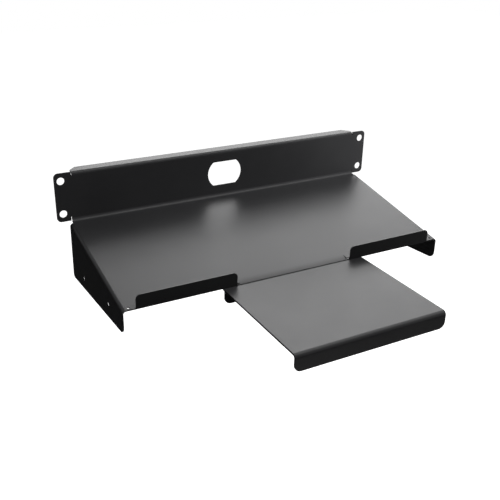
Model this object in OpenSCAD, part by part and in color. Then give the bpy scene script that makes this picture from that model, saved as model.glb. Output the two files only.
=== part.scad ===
// Rack keyboard tray with a pull-out mouse tray.
// One folded sheet makes the rack panel, the sloping keyboard shelf, its side plates and its front lips.
// A second folded sheet, the mouse tray, runs level under the shelf on two T runners in lipped guides.
// Frame: X to the right, Y to the back, Z up, in millimetres. The origin is the middle of the
// rack holes on the panel's rear face. The mouse tray is drawn pulled out.

/* [Rack panel] */
// overall width of the rack panel
panel_w = 482.6; // [478:0.1:486]
// height of the rack panel
panel_h = 65.9; // [62:0.1:72]
// radius of the panel's outer corners
panel_corner_r = 6; // [2:0.5:8]
// distance of the rack holes from the panel's side edges
rack_hole_in = 8.75; // [8:0.05:10]
// distance between the two rack holes of a column
rack_pitch_z = 44.45; // [40:0.05:48]
// diameter of a rack hole
rack_hole_d = 10; // [6:0.1:12]
// width of the relief slits between the ears and the panel's two folds
ear_relief = 0.8; // [0.5:0.1:2]
// width of the flange along the panel's top
top_flange_w = 436; // [380:1:440]
// size of the cut across each rear corner of the top flange
top_flange_cut = 10; // [2:0.5:12]
// depth of the top flange, from the panel's front face
top_flange_d = 18; // [12:0.5:24]
// width of the cable port in the panel
port_w = 52; // [46:0.5:60]
// height of the cable port
port_h = 34; // [26:0.5:38]
// radius of the cable port's bowed ends
port_end_r = 21; // [20:0.5:30]

/* [Keyboard shelf] */
// thickness of the shelf's sheet
sheet = 1.5; // [1.3:0.1:1.8]
// inside radius of the folds
fold_r = 3; // [2:0.1:4]
// inside radius of the fold between the panel and the shelf
panel_fold_r = 5.5; // [3:0.1:7]
// width over the side plates
shelf_w = 454; // [436:1:456]
// level distance from the panel's front face to the front of the lips
shelf_d = 196.5; // [185:0.5:210]
// slope of the shelf, falling to the front
tilt = 10.1; // [7:0.1:11]
// how far the side plates reach below the panel's lower edge at the back
side_back_h = 79; // [72:0.5:90]
// how far the side plates reach below the shelf's front edge
side_front_h = 29.5; // [24:0.5:36]
// gap between the panel's front face and the side plates
side_gap = 2.6; // [1:0.1:6]
// how far the side plates' back edges lean forward towards their tops
side_lean = 3.5; // [0:0.1:6]
// radius of the side plates' lower front corner
side_front_r = 9; // [3:0.5:12]
// radius of the side plates' lower back corner
side_back_r = 5; // [2:0.5:10]
// diameter of the open holes in the side plates
side_hole_d = 7; // [4:0.1:9]
// distance of the back side hole from the panel's front face
side_hole_y = 51; // [40:0.5:60]
// distance between the two holes of a side plate, front to back
side_hole_pitch = 94.6; // [80:0.1:105]
// height of the back side hole above the side plate's lower edge
side_hole_back_up = 15.3; // [9:0.1:20]
// height of the front side hole above the side plate's lower edge
side_hole_front_up = 17.4; // [9:0.1:20]
// clear width between the two front lips
lip_gap = 164.4; // [150:0.2:180]
// length of a front lip
lip_l = 128; // [110:0.2:132]
// height of a front lip above the shelf's front edge
lip_h = 16.4; // [10:0.1:20]
// inside radius of the lips' folds
lip_fold_r = 1; // [0.5:0.1:2.5]
// radius of the lips' upper corners
lip_corner_r = 6; // [2:0.5:7]
// width of the relief notch at each lip's inner end
relief_w = 4; // [3:0.1:6]
// length of the relief notches, from the lips' faces
relief_l = 3; // [2.8:0.1:4]
// diameter of the relief hole in each front corner of the shelf
corner_hole_d = 3; // [2:0.1:4]
// distance of the corner relief holes from the side plates' outer faces
corner_hole_in = 8.6; // [7:0.1:10]
// distance of the corner relief holes behind the shelf's front edge
corner_hole_back = 4; // [3.5:0.1:8]
// how far the front edge between the lips stands back from the lips' faces
edge_setback = 1; // [0.5:0.1:2]
// length of the bevel on that edge
bevel_l = 10; // [4:0.5:15]
// depth of the bevel on that edge
bevel_h = 1.2; // [0.5:0.1:1.2]

/* [Mouse tray] */
// thickness of the mouse tray's sheet
tray_sheet = 2.4; // [1.3:0.1:2.6]
// width of the mouse tray
tray_w = 201.2; // [190:0.2:206]
// how far the pulled-out tray reaches in front of the lips
tray_reach = 160.7; // [155:0.1:175]
// height of the tray's front flange
front_flange_h = 21.3; // [16:0.1:23]
// height of the tray's rear flange
rear_flange_h = 24.8; // [22:0.1:28]
// how much narrower than the tray its rear flange is, on each side
rear_flange_in = 4.6; // [2:0.1:8]
// radius of the flanges' lower corners
tray_corner_r = 8; // [3:0.5:10]
// how far the pulled-out tray still reaches under the shelf
tray_overlap = 8; // [6:0.1:9]
// clearance between the shelf and the tray below it
tray_clear = 0.3; // [0.3:0.1:1]
// travel of the tray, from pulled out to put away
tray_travel = 145; // [100:1:146]

/* [Runners and guides] */
// distance of each runner from the middle
runner_x = 60; // [50:0.5:64]
// width of a runner's top flange
runner_top_w = 28; // [26:0.5:30]
// thickness of a runner's top flange
runner_top_t = 3; // [2:0.1:4]
// thickness of a runner's web
runner_web_t = 6; // [4:0.1:7]
// width of a runner's base
runner_base_w = 19; // [17:0.1:20]
// thickness of a runner's base
runner_base_t = 4; // [3:0.1:5]
// length of runner that stays in the guide when the tray is pulled out
runner_tail = 41.5; // [36:0.5:44]
// distance of the runners' front ends behind the front flange
runner_front_gap = 10; // [6:0.5:20]
// wall of a guide
guide_t = 1.5; // [1:0.1:2]
// thickness of the glide liner in a guide
liner_t = 1; // [0.8:0.1:1.5]
// running clearance of a runner in its liner and under the guide's lips
run_clear = 0.3; // [0.3:0.05:0.4]
// clear width of the slot between a guide's lips
guide_slot_w = 11; // [10:0.1:14]
// clearance of the rear flange's notches around the runner
notch_clear = 1.5; // [1:0.1:3]
// diameter of the stop pins
stop_pin_d = 5; // [4:0.1:6]
// distance of the stop pins behind the guides' front ends
stop_pin_in = 8; // [7:0.5:12]
// gap between a stop pin's end and the runner's web
stop_pin_gap = 0.5; // [0.3:0.1:1]
// clearance of the liner's hole around the stop pin
liner_hole_clear = 1; // [0.5:0.1:2]

/* [Straps and fasteners] */
// width of the straps that carry the guides
strap_w = 20; // [16:0.5:24]
// thickness of the straps
strap_t = 2; // [1.5:0.1:3]
// inside radius of the straps' folds
strap_fold_r = 2; // [1.5:0.1:3]
// gap between the tray's edges and the straps' uprights
strap_clear = 6.2; // [4:0.1:10]
// length of the flat part of each strap foot
strap_foot_l = 30; // [26:0.5:36]
// clearance between the tray's rear flange and the straps
strap_drop = 0.6; // [0.5:0.1:1.5]
// distance of the front strap behind the lips' faces
strap_front_in = 58.5; // [54:0.5:70]
// distance of the rear strap from the guides' rear ends
strap_rear_in = 20; // [14:0.5:30]
// diameter of the welded studs
stud_d = 4; // [3:0.1:4.5]
// length of the studs
stud_l = 9; // [8.5:0.1:10]
// clearance of the stud holes around the studs
stud_clear = 0.4; // [0.2:0.1:0.6]
// distance between the two studs of a strap foot
foot_stud_pitch = 14; // [11:0.5:16]
// distance of the tray's studs from the middle of a runner
tray_stud_x = 9; // [8.5:0.1:9.2]
// distance of the tray's front studs behind the runners' front ends
tray_stud_front_in = 30; // [15:1:45]
// distance of the tray's rear studs in front of its rear flange
tray_stud_rear_in = 35; // [20:1:50]
// diameter of the washers
washer_d = 9; // [7.5:0.1:9.4]
// thickness of the washers
washer_t = 0.8; // [0.5:0.1:1]
// width of the nuts across their flats
nut_w = 7; // [6:0.1:7.2]
// height of the nuts
nut_h = 3.2; // [2.5:0.1:3.4]
// diameter of the rivets
rivet_d = 4; // [3:0.1:5]
// diameter of the rivet heads
rivet_head_d = 8; // [6.5:0.1:9]
// height of the rivet heads
rivet_head_h = 1.6; // [1:0.1:2]
// clearance of the rivet holes around the rivets
rivet_clear = 0.1; // [0.1:0.05:0.3]
// distance between the two rivets of a crossing
rivet_pitch = 10; // [9:0.5:11]

/* [Hidden] */
$fn = 64;
// a distance beyond every part of the object
far = 1000;
// how far cutting and joining shapes reach past the faces they cut or join
margin = 1;
// how much arcs are enlarged so that they cross the lines they run into
arc_overlap = 0.002;
sides = [-1, 1];

// Places of the panel and the shelf
rack_pitch_x = panel_w - 2 * rack_hole_in;
fold_out = fold_r + sheet;
panel_front = -sheet;
panel_foot = -panel_h / 2;
lip_face = panel_front - shelf_d;
shelf_l = shelf_d / cos(tilt);
edge_top = panel_foot - shelf_d * tan(tilt);
side_back = panel_front - side_gap;
side_in = shelf_w / 2 - sheet;
shelf_flat = shelf_w / 2 - fold_out;
lip_in = lip_gap / 2;
lip_out = lip_in + lip_l;

// Height of the shelf's upper face and of its underside at a place y
function shelf_top(y) = panel_foot - (panel_front - y) * tan(tilt);
function shelf_under(y) = shelf_top(y) - sheet / cos(tilt);

// Lower edge of the side plates
side_foot_back = panel_foot - side_back_h;
side_foot_front = edge_top - side_front_h;
function side_foot(y) = side_foot_back
    + (side_foot_front - side_foot_back) * (panel_front - y) / shelf_d;

// Places of a side plate's holes along Y and Z
side_hole_back = panel_front - side_hole_y;
side_hole_front = side_hole_back - side_hole_pitch;
side_hole_places = [
    [side_hole_back, side_foot(side_hole_back) + side_hole_back_up],
    [side_hole_front, side_foot(side_hole_front) + side_hole_front_up]
];

// Levels and places of the mouse tray
tray_top = shelf_under(lip_face) - tray_clear;
tray_under = tray_top - tray_sheet;
tray_fold_out = fold_r + tray_sheet;
tray_front = lip_face - tray_reach;
tray_rear = lip_face + tray_overlap;
rear_flange_foot = tray_top - rear_flange_h;
rear_flange_half = tray_w / 2 - rear_flange_in;
notch_half = runner_top_w / 2 + notch_clear;

// Levels of the straps, guides, liners and runners
strap_top = rear_flange_foot - strap_drop;
guide_floor = strap_top + guide_t;
liner_floor = guide_floor + liner_t;
runner_foot = liner_floor + run_clear;
runner_shoulder = runner_foot + runner_base_t;
guide_lip_under = runner_shoulder + run_clear;
guide_in_half = runner_base_w / 2 + run_clear + liner_t;
guide_out_half = guide_in_half + guide_t;
guide_front = lip_face + sheet;
runner_rear = guide_front + runner_tail;
guide_rear = runner_rear + tray_travel;
runner_front = tray_front + runner_front_gap;
stop_pin_y = guide_front + stop_pin_in;
stop_slot_w = stop_pin_d + 2 * run_clear;
liner_hole_d = stop_pin_d + liner_hole_clear;
stop_pin_top = runner_shoulder - stop_pin_gap;

// Places of the straps and their feet
strap_in = tray_w / 2 + strap_clear;
strap_fold_out = strap_fold_r + strap_t;
strap_foot_x = strap_in + strap_fold_out;
strap_places = [lip_face + strap_front_in, guide_rear - strap_rear_in];
foot_stud_x = strap_foot_x + strap_foot_l / 2;
tray_stud_places = [runner_front + tray_stud_front_in, tray_rear - tray_stud_rear_in];
rivet_hole_d = rivet_d + rivet_clear;

powder_black = [0.07, 0.07, 0.08];
zinc_grey = [0.62, 0.64, 0.66];
alloy_grey = [0.72, 0.73, 0.75];
nylon_white = [0.9, 0.89, 0.85];

// The piece between a corner and an arc inside it: corner p between its neighbours a and b.
// It is cut off an outer corner, or fills an inner one.
module corner_piece(p, a, b, r) {
    u = (a - p) / norm(a - p);
    v = (b - p) / norm(b - p);
    bisector = (u + v) / norm(u + v);
    half_angle = acos(u * v) / 2;
    centre = p + bisector * r / sin(half_angle);
    to_u = p + u * r / tan(half_angle) - centre;
    to_v = p + v * r / tan(half_angle) - centre;
    overshoot = 1 + margin / r;
    difference() {
        polygon([p - bisector * margin, centre + to_u * overshoot, centre, centre + to_v * overshoot]);
        translate(centre) circle(r + arc_overlap);
    }
}

// A polygon whose corners have the given radii, 0 for a sharp one
module rounded_polygon(points, radii) {
    count = len(points);
    difference() {
        polygon(points);
        for (i = [0 : count - 1])
            if (radii[i] > 0)
                corner_piece(points[i], points[(i + count - 1) % count], points[(i + 1) % count], radii[i]);
    }
}

// Rectangle from two corners, in the plane
module area(low, high) {
    translate(low) square(high - low);
}

// Box from two corners
module box(low, high) {
    translate(low) cube(high - low);
}

// Stands a drawing of X and Z up, with its thickness from y to the back
module upright_xz(y, thick) {
    translate([0, y + thick, 0]) rotate([90, 0, 0]) linear_extrude(thick) children();
}

// Runs a drawing of X and Z from one y to another
module along_y(from, to) {
    translate([0, to, 0]) rotate([90, 0, 0]) linear_extrude(to - from) children();
}

// Runs a drawing of Y and Z from one x to another
module along_x(from, to) {
    translate([from, 0, 0]) rotate([90, 0, 90]) linear_extrude(to - from) children();
}

// The shelf's own frame: its upper face at height 0, falling towards negative Y
module on_slope() {
    translate([0, panel_front, panel_foot]) rotate([tilt, 0, 0]) children();
}

// A shape and its mirror image across the middle
module both_sides() {
    children();
    mirror([1, 0, 0]) children();
}

// Keeps only what lies between two places along Y
module between_y(from, to) {
    intersection() {
        children();
        box([-far, from, -far], [far, to, far]);
    }
}

// Outline of the cable port: flat above and below, bowed at its ends
module port_outline() {
    bow_x = port_w / 2 - port_end_r;
    for (side = sides)
        intersection() {
            translate([side * bow_x, 0]) circle(port_end_r);
            square([port_w + margin, port_h], center = true);
        }
    square([max(2 * bow_x, margin), port_h], center = true);
}

// Upright panel with its ears, rack holes and cable port
module panel_plate() {
    half_w = panel_w / 2;
    half_h = panel_h / 2;
    flange_gap = top_flange_w / 2 + ear_relief;
    relief_half = ear_relief / 2;
    strip = shelf_flat - relief_half;
    upright_xz(panel_front, sheet)
        difference() {
            union() {
                rounded_polygon(
                    [[-half_w, -half_h], [half_w, -half_h], [half_w, half_h], [-half_w, half_h]],
                    [panel_corner_r, panel_corner_r, panel_corner_r, panel_corner_r]
                );
                area([-strip, panel_foot - sheet / 2], [strip, 0]);
            }
            area([-flange_gap, half_h - fold_out], [flange_gap, half_h + margin]);
            both_sides()
                area([strip, panel_foot - sheet], [shelf_flat + relief_half, panel_foot + panel_fold_r]);
            port_outline();
            for (x = sides, z = sides)
                translate([x * rack_pitch_x / 2, z * rack_pitch_z / 2]) circle(d = rack_hole_d);
        }
}

// Flange folded back along the panel's top, with its rear corners cut off
module top_flange() {
    top = panel_h / 2;
    half = top_flange_w / 2;
    rear = panel_front + top_flange_d;
    root = top - fold_out - margin;
    cut_front = max(rear - top_flange_cut, fold_r + margin);
    intersection() {
        along_x(-half - margin, half + margin)
            difference() {
                rounded_polygon(
                    [[panel_front, root], [rear, root], [rear, top], [panel_front, top]],
                    [0, 0, 0, fold_out]
                );
                rounded_polygon(
                    [
                        [0, root - margin],
                        [rear + margin, root - margin],
                        [rear + margin, top - sheet],
                        [0, top - sheet]
                    ],
                    [0, 0, 0, fold_r]
                );
            }
        linear_extrude(panel_h)
            polygon([
                [-half, panel_front - margin],
                [half, panel_front - margin],
                [half, cut_front],
                [half - top_flange_cut, rear + margin],
                [top_flange_cut - half, rear + margin],
                [-half, cut_front]
            ]);
    }
}

// Section across the shelf: a level top that turns down into two sides
module shelf_section(half, top, r) {
    foot = -side_back_h - side_front_h;
    rounded_polygon([[-half, foot], [half, foot], [half, top], [-half, top]], [0, 0, r, r]);
}

// Side view of the side plates, which also ends the shelf at the front
module side_outline() {
    rounded_polygon(
        [
            [lip_face, side_foot(lip_face)],
            [side_back, side_foot(side_back)],
            [side_back - side_lean, panel_foot],
            [lip_face, panel_foot]
        ],
        [side_front_r, side_back_r, 0, 0]
    );
}

// Shelf with its side plates
module shelf_and_sides() {
    intersection() {
        on_slope()
            difference() {
                along_y(-shelf_l - fold_out, 0) shelf_section(shelf_w / 2, 0, fold_out);
                along_y(-shelf_l - 2 * fold_out, fold_out)
                    translate([0, -margin]) shelf_section(side_in, margin - sheet, fold_r);
            }
        along_x(-shelf_w, shelf_w) side_outline();
    }
}

// Back of the shelf, which runs into the panel
module shelf_root() {
    between_y(-far, 0)
        on_slope() box([-shelf_flat, -shelf_l / 2, -sheet], [shelf_flat, fold_out, 0]);
}

// Inner curve of the fold between the panel and the shelf
module panel_fold_fill() {
    half = shelf_flat - ear_relief;
    along_x(-half, half)
        corner_piece([panel_front, panel_foot], [panel_front, 0], [lip_face, edge_top], panel_fold_r);
}

// What the same fold's outer curve takes off the corner
module panel_fold_waste() {
    half = shelf_flat + ear_relief / 4;
    along_x(-half, half)
        corner_piece([0, shelf_under(0)], [0, 0], [lip_face, shelf_under(lip_face)], panel_fold_r + sheet);
}

// Front lips with the inner curve of their folds
module lips() {
    foot = edge_top - sheet / 2;
    top = edge_top + lip_h;
    rear = lip_face + sheet;
    both_sides() {
        upright_xz(lip_face, sheet)
            rounded_polygon(
                [[lip_in, foot], [lip_out, foot], [lip_out, top], [lip_in, top]],
                [0, 0, lip_corner_r, lip_corner_r]
            );
        along_x(lip_in, lip_out)
            corner_piece([rear, shelf_top(rear)], [rear, top], [panel_front, panel_foot], lip_fold_r);
    }
}

// What is cut from the shelf's front edge: the set-back between the lips, its bevel and the relief notches
module front_cuts() {
    edge = lip_face + edge_setback;
    edge_half = lip_in - relief_w;
    cut_foot = edge_top - lip_h;
    cut_top = edge_top + lip_h;
    bevel_slope = tan(tilt) + bevel_h / bevel_l;
    bevel_rear = edge + bevel_l;
    overrun = margin / bevel_slope;
    box([-edge_half, lip_face - margin, cut_foot], [edge_half, edge, cut_top]);
    along_x(-edge_half, edge_half)
        polygon([
            [bevel_rear + overrun, shelf_top(bevel_rear) + margin],
            [edge - margin, shelf_top(bevel_rear) + margin],
            [edge - margin, shelf_top(bevel_rear) - (bevel_l + margin) * bevel_slope]
        ]);
    both_sides()
        box([edge_half, lip_face - margin, cut_foot], [lip_in, lip_face + relief_l, cut_top]);
}

// Open holes in the side plates and the shelf's front corners
module body_holes() {
    both_sides() {
        for (place = side_hole_places)
            translate([side_in - margin, place[0], place[1]])
                rotate([0, 90, 0]) cylinder(d = side_hole_d, h = sheet + 2 * margin);
        on_slope()
            translate([shelf_w / 2 - corner_hole_in, corner_hole_back - shelf_l, -sheet - margin])
                cylinder(d = corner_hole_d, h = sheet + 2 * margin);
    }
}

module shelf_body() {
    color(powder_black)
        difference() {
            union() {
                panel_plate();
                top_flange();
                shelf_root();
                shelf_and_sides();
                panel_fold_fill();
                lips();
            }
            panel_fold_waste();
            front_cuts();
            body_holes();
        }
}

// Outline of a tray flange of a given half width, from above the tray down to its foot
module flange_outline(half, foot) {
    head = tray_top + margin;
    rounded_polygon(
        [[-half, foot], [half, foot], [half, head], [-half, head]],
        [tray_corner_r, tray_corner_r, 0, 0]
    );
}

// Section along the tray: a level top between two turned-down flanges
module tray_section(front, rear, top, r) {
    foot = rear_flange_foot - tray_fold_out;
    rounded_polygon([[front, foot], [rear, foot], [rear, top], [front, top]], [0, 0, r, r]);
}

module mouse_tray() {
    half = tray_w / 2;
    rear_fold = tray_rear - tray_fold_out;
    front_in = tray_front + tray_sheet;
    rear_in = tray_rear - tray_sheet;
    color(powder_black)
        difference() {
            intersection() {
                along_x(-tray_w, tray_w)
                    difference() {
                        tray_section(tray_front, tray_rear, tray_top, tray_fold_out);
                        translate([0, -margin])
                            tray_section(front_in, rear_in, tray_under + margin, fold_r);
                    }
                union() {
                    along_y(tray_front - margin, rear_fold) flange_outline(half, tray_top - front_flange_h);
                    along_y(rear_fold - margin, tray_rear + margin)
                        flange_outline(rear_flange_half, rear_flange_foot);
                }
            }
            for (side = sides)
                box(
                    [side * runner_x - notch_half, rear_fold, rear_flange_foot - margin],
                    [side * runner_x + notch_half, tray_rear + margin, tray_top + margin]
                );
        }
}

// T runner: a flange under the tray, a web, and a base that the guide holds
module runner(x) {
    top_half = runner_top_w / 2;
    web_half = runner_web_t / 2;
    base_half = runner_base_w / 2;
    top_under = tray_under - runner_top_t;
    color(alloy_grey)
        difference() {
            translate([x, 0, 0])
                along_y(runner_front, runner_rear) {
                    area([-top_half, top_under], [top_half, tray_under]);
                    area([-web_half, runner_shoulder], [web_half, top_under]);
                    area([-base_half, runner_foot], [base_half, runner_shoulder]);
                }
            stop_slot(x);
            tray_stud_pattern() stud_hole(runner_top_t);
        }
}

// Slot in a runner's base for the stop pin: its ends set the tray's travel
module stop_slot(x) {
    ends = [stop_pin_y - tray_travel, stop_pin_y];
    for (y = ends)
        translate([x, y, runner_foot - margin]) cylinder(d = stop_slot_w, h = runner_base_t + margin);
    box(
        [x - stop_slot_w / 2, ends[0], runner_foot - margin],
        [x + stop_slot_w / 2, ends[1], runner_shoulder]
    );
}

// Lipped guide that hangs on the straps
module guide(x) {
    slot_half = guide_slot_w / 2;
    guide_top = guide_lip_under + guide_t;
    color(zinc_grey)
        difference() {
            translate([x, 0, 0])
                along_y(guide_front, guide_rear)
                    difference() {
                        area([-guide_out_half, strap_top], [guide_out_half, guide_top]);
                        area([-guide_in_half, guide_floor], [guide_in_half, guide_lip_under]);
                        area([-slot_half, guide_lip_under - margin], [slot_half, guide_top + margin]);
                    }
            translate([0, 0, strap_top - margin]) {
                rivet_pattern() cylinder(d = rivet_hole_d, h = guide_t + 2 * margin);
                translate([x, stop_pin_y, 0]) cylinder(d = stop_pin_d, h = guide_t + 2 * margin);
            }
        }
}

// Glide liner: a channel that lies in the guide, under the runner and beside it
module liner(x) {
    liner_in_half = guide_in_half - liner_t;
    color(nylon_white)
        difference() {
            translate([x, 0, 0])
                along_y(guide_front, guide_rear)
                    difference() {
                        area([-guide_in_half, guide_floor], [guide_in_half, guide_lip_under]);
                        area([-liner_in_half, liner_floor], [liner_in_half, guide_lip_under + margin]);
                    }
            translate([x, stop_pin_y, guide_floor - margin])
                cylinder(d = liner_hole_d, h = liner_t + 2 * margin);
        }
}

// Section of a strap's level bar with the lower parts of its uprights
module strap_bar(upright_top) {
    out = strap_in + strap_t;
    foot = strap_top - strap_t;
    difference() {
        rounded_polygon(
            [[-out, foot], [out, foot], [out, upright_top], [-out, upright_top]],
            [strap_fold_out, strap_fold_out, 0, 0]
        );
        rounded_polygon(
            [
                [-strap_in, strap_top],
                [strap_in, strap_top],
                [strap_in, upright_top + margin],
                [-strap_in, upright_top + margin]
            ],
            [strap_fold_r, strap_fold_r, 0, 0]
        );
    }
}

// Section of a strap's feet with the upper parts of its uprights, in the shelf's own frame
module strap_feet(upright_l) {
    out = strap_in + strap_t;
    foot_end = strap_foot_x + strap_foot_l;
    low = -sheet - strap_fold_out - upright_l;
    both_sides()
        difference() {
            rounded_polygon(
                [[strap_in, low], [foot_end, low], [foot_end, -sheet], [strap_in, -sheet]],
                [0, 0, 0, strap_fold_out]
            );
            rounded_polygon(
                [
                    [out, low - margin],
                    [foot_end + margin, low - margin],
                    [foot_end + margin, -sheet - strap_t],
                    [out, -sheet - strap_t]
                ],
                [0, 0, 0, strap_fold_r]
            );
        }
}

// Strap: a level bar under the guides, two uprights beside the tray, and two feet under the shelf
module strap(y) {
    turn_z = shelf_under(y) - strap_fold_out / cos(tilt);
    middle_z = (strap_top + turn_z) / 2;
    slope_y = (y - panel_front) / cos(tilt);
    color(powder_black)
        difference() {
            between_y(y - strap_w / 2, y + strap_w / 2) {
                along_y(y - strap_w, y + strap_w) strap_bar(middle_z + strap_t);
                on_slope()
                    along_y(slope_y - 2 * strap_w, slope_y + 2 * strap_w)
                        strap_feet(turn_z - middle_z + strap_t);
            }
            shelf_stud_pattern() translate([0, 0, -sheet]) stud_hole(strap_t);
            rivet_pattern()
                translate([0, 0, strap_top - strap_t - margin])
                    cylinder(d = rivet_hole_d, h = strap_t + 2 * margin);
        }
}

// Places of the studs on the shelf's underside, square to the shelf
module shelf_stud_pattern() {
    for (y = strap_places, side = sides, step = sides)
        on_slope()
            translate([
                side * foot_stud_x + step * foot_stud_pitch / 2,
                (y - panel_front) / cos(tilt) - (sheet + strap_t) * tan(tilt),
                0
            ])
                children();
}

// Places of the studs on the tray's underside
module tray_stud_pattern() {
    for (x = sides, y = tray_stud_places, step = sides)
        translate([x * runner_x + step * tray_stud_x, y, tray_under]) children();
}

// Places of the rivets where the guides cross the straps
module rivet_pattern() {
    for (x = sides, y = strap_places, step = sides)
        translate([x * runner_x, y + step * rivet_pitch / 2, 0]) children();
}

// Hole for a stud, through a plate of a given thickness below height 0
module stud_hole(thick) {
    translate([0, 0, -thick - margin]) cylinder(d = stud_d + stud_clear, h = thick + 2 * margin);
}

// Flat ring of a washer, hanging down from a height
module washer(top) {
    translate([0, 0, top])
        difference() {
            translate([0, 0, -washer_t]) cylinder(d = washer_d, h = washer_t);
            stud_hole(washer_t);
        }
}

// Hexagon nut, hanging down from a height
module nut(top) {
    translate([0, 0, top - nut_h])
        difference() {
            cylinder(d = nut_w / cos(30), h = nut_h, $fn = 6);
            translate([0, 0, -margin]) cylinder(d = stud_d, h = nut_h + 2 * margin);
        }
}

module shelf_studs() {
    color(zinc_grey)
        shelf_stud_pattern() translate([0, 0, -sheet - stud_l]) cylinder(d = stud_d, h = stud_l);
}

module shelf_washers() {
    color(zinc_grey) shelf_stud_pattern() washer(-sheet - strap_t);
}

module shelf_nuts() {
    color(zinc_grey) shelf_stud_pattern() nut(-sheet - strap_t - washer_t);
}

module tray_studs() {
    color(zinc_grey)
        tray_stud_pattern() translate([0, 0, -stud_l]) cylinder(d = stud_d, h = stud_l);
}

module tray_washers() {
    color(zinc_grey) tray_stud_pattern() washer(-runner_top_t);
}

module tray_nuts() {
    color(zinc_grey) tray_stud_pattern() nut(-runner_top_t - washer_t);
}

// Rivets: a domed head under the strap and a shank that ends level with the guide's floor
module guide_rivets() {
    head_r = (rivet_head_d * rivet_head_d / 4 + rivet_head_h * rivet_head_h) / (2 * rivet_head_h);
    strap_under = strap_top - strap_t;
    root = rivet_head_h / 4;
    color(zinc_grey)
        rivet_pattern() {
            translate([0, 0, strap_under - root]) cylinder(d = rivet_d, h = strap_t + guide_t + root);
            translate([0, 0, strap_under])
                intersection() {
                    translate([0, 0, head_r - rivet_head_h]) sphere(head_r);
                    translate([0, 0, -rivet_head_h]) cylinder(d = rivet_head_d, h = rivet_head_h);
                }
        }
}

// Stop pins: pressed into the guides' floors, standing in the runners' slots
module stop_pins() {
    color(zinc_grey)
        for (x = sides)
            translate([x * runner_x, stop_pin_y, strap_top])
                cylinder(d = stop_pin_d, h = stop_pin_top - strap_top);
}

shelf_body();
mouse_tray();
guide(-runner_x);  // guide_left
guide(runner_x);  // guide_right
liner(-runner_x);  // liner_left
liner(runner_x);  // liner_right
runner(-runner_x);  // runner_left
runner(runner_x);  // runner_right
strap(strap_places[0]);  // strap_front
strap(strap_places[1]);  // strap_rear
shelf_studs();
shelf_washers();
shelf_nuts();
tray_studs();
tray_washers();
tray_nuts();
guide_rivets();
stop_pins();
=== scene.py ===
import math

import bpy
from mathutils import Matrix, Vector


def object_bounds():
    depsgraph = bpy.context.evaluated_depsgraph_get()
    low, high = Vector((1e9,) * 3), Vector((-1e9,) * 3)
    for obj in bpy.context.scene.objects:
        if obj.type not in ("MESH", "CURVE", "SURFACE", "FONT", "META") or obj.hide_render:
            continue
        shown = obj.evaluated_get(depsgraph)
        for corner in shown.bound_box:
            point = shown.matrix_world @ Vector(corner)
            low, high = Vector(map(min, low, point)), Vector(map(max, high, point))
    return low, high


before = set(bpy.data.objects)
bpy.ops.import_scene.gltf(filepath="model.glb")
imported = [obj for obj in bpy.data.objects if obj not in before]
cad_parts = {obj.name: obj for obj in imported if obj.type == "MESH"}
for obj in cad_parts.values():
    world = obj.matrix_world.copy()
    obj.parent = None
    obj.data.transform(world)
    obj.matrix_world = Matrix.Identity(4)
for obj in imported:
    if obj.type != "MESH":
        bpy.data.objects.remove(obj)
cad_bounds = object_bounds()
scene = bpy.context.scene

# The photograph's camera, in the part's frame
CAMERA_PLACE = Vector((-0.45416, -0.89236, 0.34145))
CAMERA_YAW = math.radians(-29.191)
CAMERA_PITCH = math.radians(24.775)
CAMERA_ROLL = math.radians(1.224)
CAMERA_LENS = 53.476
SENSOR_WIDTH = 36.0
CLIP_NEAR = 0.01
CLIP_FAR = 50.0

# What each node is made of: the rest is zinc plated
COATED = ("shelf_body", "mouse_tray", "strap_front", "strap_rear")
EXTRUDED = ("runner_left", "runner_right")
MOULDED = ("liner_left", "liner_right")

# Width of the softened edges of each material, in metres
COAT_EDGE = 0.00015
ALLOY_EDGE = 0.0003
NYLON_EDGE = 0.0001
ZINC_EDGE = 0.0001
EDGE_SEGMENTS = 2
SHARP_ANGLE = math.radians(40)
WELD_DISTANCE = 0.000002
NORMAL_WEIGHT = 80

# The white surroundings: how bright they are as a light, and where they are seen
BOUNCED_LEVEL = 0.06
SEEN_LEVEL = 1.0
WHITE = (1.0, 1.0, 1.0, 1.0)

# The floor: its size, how far it lies below the part, its own glow in the middle and far from it
FLOOR_SIZE = 16.0
FLOOR_DROP = 0.9
FLOOR_GLOW_MIDDLE, FLOOR_GLOW_FAR = 0.82, 1.0
FLOOR_GLOW_START, FLOOR_GLOW_END = 1.0, 2.5

# Lamps: name, place, target, width, height, power, and whether reflections show them
SHELF_FRONT = (0.0, -0.15, -0.05)
LAMPS = (
    ("upper_softbox", (0.98, 1.17, 1.42), SHELF_FRONT, 1.9, 1.0, 41.0, True),
    ("lower_softbox", (0.98, 1.59, 0.87), SHELF_FRONT, 1.9, 0.9, 16.5, True),
    ("top_softbox", (0.88, -0.62, 1.6), (0.88, 0.0, 0.0), 2.0, 0.8, 31.0, True),
    ("panel_softbox", (0.62, -0.14, 0.03), (0.1, 0.0, 0.0), 0.10, 0.12, 6.0, False),
)

# Dark cards, painted shade in place of a table in shadow: name, place, target, width, height
CARDS = (
    ("left_card", (-0.48, 0.40, -0.34), (-0.226, -0.1, -0.12), 1.2, 1.0),
    ("tray_card", (0.08, -0.345, -0.235), (0.08, 0.6, -0.235), 0.8, 0.27),
    ("front_card", (0.24, -0.74, -0.23), (0.08, -0.36, -0.08), 0.7, 0.33),
)

# Places of a Mix node's two colours among its inputs, and of the mixed colour among its outputs
MIX_FIRST, MIX_SECOND, MIX_RESULT = 6, 7, 2


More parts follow.
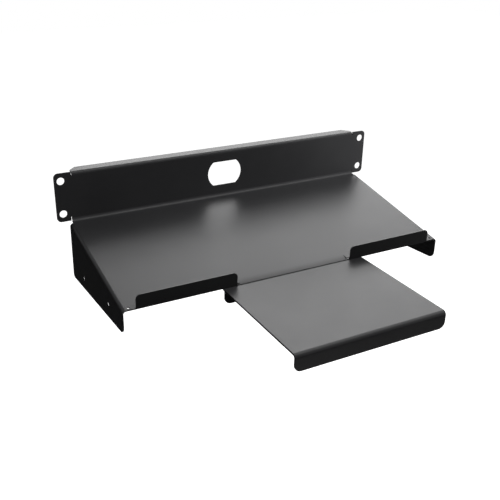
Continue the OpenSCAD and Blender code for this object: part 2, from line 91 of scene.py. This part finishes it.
class Shader:
    """A new material's node tree with its Principled shader and helpers to add nodes."""

    def __init__(self, name):
        self.material = bpy.data.materials.new(name)
        self.material.use_nodes = True
        self.tree = self.material.node_tree
        self.surface = self.tree.nodes["Principled BSDF"]
        self.place = self.node("ShaderNodeTexCoord").outputs["Object"]

    def node(self, kind, **settings):
        made = self.tree.nodes.new(kind)
        for key, value in settings.items():
            setattr(made, key, value)
        return made

    def put(self, socket, value):
        """Links a socket into another one, or sets anything else as its value."""
        if isinstance(value, bpy.types.NodeSocket):
            self.tree.links.new(value, socket)
        else:
            socket.default_value = value

    def feed(self, node, **values):
        """Fills a node's inputs, by name with _ for a space."""
        for key, value in values.items():
            self.put(node.inputs[key.replace("_", " ")], value)
        return node

    def stretched(self, x, y, z):
        """The place on the object, stretched along its axes."""
        made = self.feed(self.node("ShaderNodeMapping"), Vector=self.place, Scale=(x, y, z))
        return made.outputs["Vector"]

    def noise(self, scale, detail=2.0, roughness=0.5, place=None):
        made = self.node("ShaderNodeTexNoise")
        self.feed(made, Vector=place or self.place, Scale=scale, Detail=detail, Roughness=roughness)
        return made.outputs["Fac"]

    def spread(self, value, low, high, start=0.3, end=0.7):
        """Maps a value between start and end to a range."""
        made = self.node("ShaderNodeMapRange")
        self.feed(made, Value=value, From_Min=start, From_Max=end, To_Min=low, To_Max=high)
        return made.outputs["Result"]

    def tint(self, value, first, second, start=0.3, end=0.7):
        """Maps a value between start and end to a colour between two."""
        made = self.node("ShaderNodeValToRGB")
        stops = made.color_ramp.elements
        for stop, position, colour in ((stops[0], start, first), (stops[1], end, second)):
            stop.position = position
            stop.color = (*colour, 1.0)
        self.feed(made, Fac=value)
        return made.outputs["Color"]

    def blend(self, factor, under, over):
        """Lays a plain colour over a colour socket."""
        made = self.node("ShaderNodeMix", data_type="RGBA")
        self.feed(made, Factor=factor)
        self.put(made.inputs[MIX_FIRST], under)
        self.put(made.inputs[MIX_SECOND], (*over, 1.0))
        return made.outputs[MIX_RESULT]

    def bump(self, height, strength, distance):
        made = self.node("ShaderNodeBump")
        self.feed(made, Height=height, Strength=strength, Distance=distance)
        return made.outputs["Normal"]


def powder_coat():
    """Satin black powder coat: fine orange peel, soft cloudiness, faint handling marks."""
    s = Shader("black_coat_finish")
    cloud = s.noise(9.0, detail=3.0)
    speck = s.noise(2600.0, detail=1.0)
    marks = s.noise(35.0, detail=4.0, roughness=0.6)
    peel = s.noise(900.0, detail=2.0, roughness=0.55)
    body = s.tint(cloud, (0.018, 0.018, 0.019), (0.023, 0.023, 0.024))
    dust = s.spread(speck, 0.0, 0.35, start=0.62, end=0.8)
    s.feed(
        s.surface,
        Base_Color=s.blend(dust, body, (0.045, 0.045, 0.046)),
        Roughness=s.spread(marks, 0.38, 0.41),
        Specular_IOR_Level=0.14,
        Normal=s.bump(peel, 0.10, 0.0002),
    )
    return s.material


def zinc_plate():
    """Zinc plating: bright grey with a cloudy bluish and yellowish bloom and fine scratches."""
    s = Shader("zinc_finish")
    bloom = s.noise(120.0, detail=3.0)
    scratch = s.noise(900.0, detail=2.0, place=s.stretched(1.0, 0.05, 1.0))
    s.feed(
        s.surface,
        Base_Color=s.tint(bloom, (0.55, 0.58, 0.62), (0.66, 0.65, 0.60)),
        Metallic=1.0,
        Roughness=s.spread(bloom, 0.28, 0.44),
        Normal=s.bump(scratch, 0.12, 0.00005),
    )
    return s.material


def mill_alloy():
    """Extruded aluminium: die lines along its length and a dull oxide haze."""
    s = Shader("alloy_finish")
    lines = s.noise(1500.0, detail=2.0, place=s.stretched(1.0, 0.004, 1.0))
    haze = s.noise(45.0, detail=4.0)
    s.feed(
        s.surface,
        Base_Color=s.tint(haze, (0.62, 0.63, 0.65), (0.76, 0.77, 0.78)),
        Metallic=1.0,
        Roughness=s.spread(lines, 0.30, 0.46),
        Normal=s.bump(lines, 0.18, 0.00008),
    )
    return s.material


def natural_nylon():
    """Moulded natural nylon: milky, slightly uneven, with rub marks where the runner slides."""
    s = Shader("nylon_finish")
    cloud = s.noise(60.0, detail=3.0)
    rub = s.noise(700.0, detail=3.0, place=s.stretched(1.0, 0.02, 1.0))
    milky = s.tint(cloud, (0.74, 0.72, 0.66), (0.82, 0.81, 0.76))
    rubbed = s.spread(rub, 0.0, 0.4, start=0.55, end=0.75)
    s.feed(
        s.surface,
        Base_Color=s.blend(rubbed, milky, (0.58, 0.57, 0.54)),
        Roughness=s.spread(rub, 0.38, 0.55),
        IOR=1.53,
        Normal=s.bump(rub, 0.10, 0.0001),
    )
    return s.material


def dress(node, material, edge):
    """Gives a CAD node its finish, softens its sharp edges a little and shades its folds smoothly."""
    node.data.materials.clear()
    node.data.materials.append(material)
    weld = node.modifiers.new("weld", "WELD")
    weld.merge_threshold = WELD_DISTANCE
    bevel = node.modifiers.new("edge", "BEVEL")
    bevel.width = edge
    bevel.segments = EDGE_SEGMENTS
    bevel.limit_method = "ANGLE"
    bevel.angle_limit = SHARP_ANGLE
    bevel.harden_normals = True
    even = node.modifiers.new("even", "WEIGHTED_NORMAL")
    even.mode = "FACE_AREA"
    even.weight = NORMAL_WEIGHT


def dress_nodes():
    coat = powder_coat()
    zinc = zinc_plate()
    alloy = mill_alloy()
    nylon = natural_nylon()
    for name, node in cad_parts.items():
        if name in COATED:
            dress(node, coat, COAT_EDGE)
        elif name in EXTRUDED:
            dress(node, alloy, ALLOY_EDGE)
        elif name in MOULDED:
            dress(node, nylon, NYLON_EDGE)
        else:
            dress(node, zinc, ZINC_EDGE)


def seen_directly(tree):
    """1 for what the camera, a reflection or glass sees, and 0 for light that bounces."""
    path = tree.nodes.new("ShaderNodeLightPath")
    total = path.outputs["Is Camera Ray"]
    for name in ("Is Glossy Ray", "Is Transmission Ray"):
        either = tree.nodes.new("ShaderNodeMath")
        either.operation = "MAXIMUM"
        tree.links.new(total, either.inputs[0])
        tree.links.new(path.outputs[name], either.inputs[1])
        total = either.outputs[0]
    return total


def make_world():
    """White where it is seen, and a faint even light elsewhere."""
    world = bpy.data.worlds.new("studio")
    world.use_nodes = True
    tree = world.node_tree
    background = tree.nodes["Background"]
    background.inputs["Color"].default_value = WHITE
    level = tree.nodes.new("ShaderNodeMapRange")
    level.inputs["To Min"].default_value = BOUNCED_LEVEL
    level.inputs["To Max"].default_value = SEEN_LEVEL
    tree.links.new(seen_directly(tree), level.inputs["Value"])
    tree.links.new(level.outputs["Result"], background.inputs["Strength"])
    scene.world = world


def aim(thing, place, target):
    thing.location = place
    thing.rotation_euler = (Vector(target) - Vector(place)).to_track_quat("-Z", "Y").to_euler()


def make_rectangle(name, width, height, level=0.0):
    """A flat rectangle around the Z axis, at a level."""
    x, y = width / 2, height / 2
    mesh = bpy.data.meshes.new(name)
    corners = [(-x, -y, level), (x, -y, level), (x, y, level), (-x, y, level)]
    mesh.from_pydata(corners, [], [(0, 1, 2, 3)])
    made = bpy.data.objects.new(name, mesh)
    scene.collection.objects.link(made)
    return made


def make_floor():
    """A pale floor well below the part: it takes a faint shadow and turns white away from the middle."""
    floor = make_rectangle("floor", FLOOR_SIZE, FLOOR_SIZE, cad_bounds[0][2] - FLOOR_DROP)
    s = Shader("floor_paint")
    grain = s.noise(30.0, detail=2.0)
    away = s.feed(s.node("ShaderNodeVectorMath", operation="LENGTH"), Vector=s.place).outputs["Value"]
    glow = s.spread(away, FLOOR_GLOW_MIDDLE, FLOOR_GLOW_FAR, start=FLOOR_GLOW_START, end=FLOOR_GLOW_END)
    lift = s.node("ShaderNodeMath", operation="MULTIPLY")
    s.put(lift.inputs[0], glow)
    s.put(lift.inputs[1], seen_directly(s.tree))
    s.feed(
        s.surface,
        Base_Color=s.tint(grain, (0.50, 0.50, 0.50), (0.53, 0.53, 0.53)),
        Roughness=0.9,
        Specular_IOR_Level=0.0,
        Emission_Color=WHITE,
        Emission_Strength=lift.outputs[0],
    )
    floor.data.materials.append(s.material)


def make_card(name, place, target, width, height):
    """A dark card that the camera doesn't see: its near-black colour is painted shade in place of a
    table in shadow, and it keeps upright faces dark, as a table's shadow does.
    """
    card = make_rectangle(name, width, height)
    card.visible_camera = False
    aim(card, place, target)
    # The card's near-black colour with a faint grain is painted shade, standing in for a table in shadow
    s = Shader(name + "_painted_shade")
    shade_grain = s.noise(400.0, detail=2.0)
    s.feed(
        s.surface,
        Base_Color=s.tint(shade_grain, (0.008, 0.008, 0.008), (0.014, 0.014, 0.014)),
        Roughness=0.95,
        Specular_IOR_Level=0.0,
    )
    card.data.materials.append(s.material)


def make_light(name, place, target, width, height, power, mirrored):
    data = bpy.data.lights.new(name, "AREA")
    data.shape = "RECTANGLE"
    data.size = width
    data.size_y = height
    data.energy = power
    light = bpy.data.objects.new(name, data)
    light.visible_camera = False
    light.visible_glossy = mirrored
    scene.collection.objects.link(light)
    aim(light, place, target)


def make_camera():
    back = Vector((
        math.sin(CAMERA_YAW) * math.cos(CAMERA_PITCH),
        -math.cos(CAMERA_YAW) * math.cos(CAMERA_PITCH),
        math.sin(CAMERA_PITCH),
    ))
    level = Vector((math.cos(CAMERA_YAW), math.sin(CAMERA_YAW), 0.0))
    upright = back.cross(level)
    right = math.cos(CAMERA_ROLL) * level + math.sin(CAMERA_ROLL) * upright
    up = back.cross(right)
    turn = Matrix((right, up, back)).transposed().to_4x4()
    data = bpy.data.cameras.new("photo_camera")
    data.sensor_width = SENSOR_WIDTH
    data.lens = CAMERA_LENS
    data.clip_start = CLIP_NEAR
    data.clip_end = CLIP_FAR
    camera = bpy.data.objects.new("photo_camera", data)
    camera.matrix_world = Matrix.Translation(CAMERA_PLACE) @ turn
    scene.collection.objects.link(camera)
    scene.camera = camera


scene.view_settings.view_transform = "Standard"
make_camera()
make_world()
make_floor()
for lamp in LAMPS:
    make_light(*lamp)
for card in CARDS:
    make_card(*card)
dress_nodes()
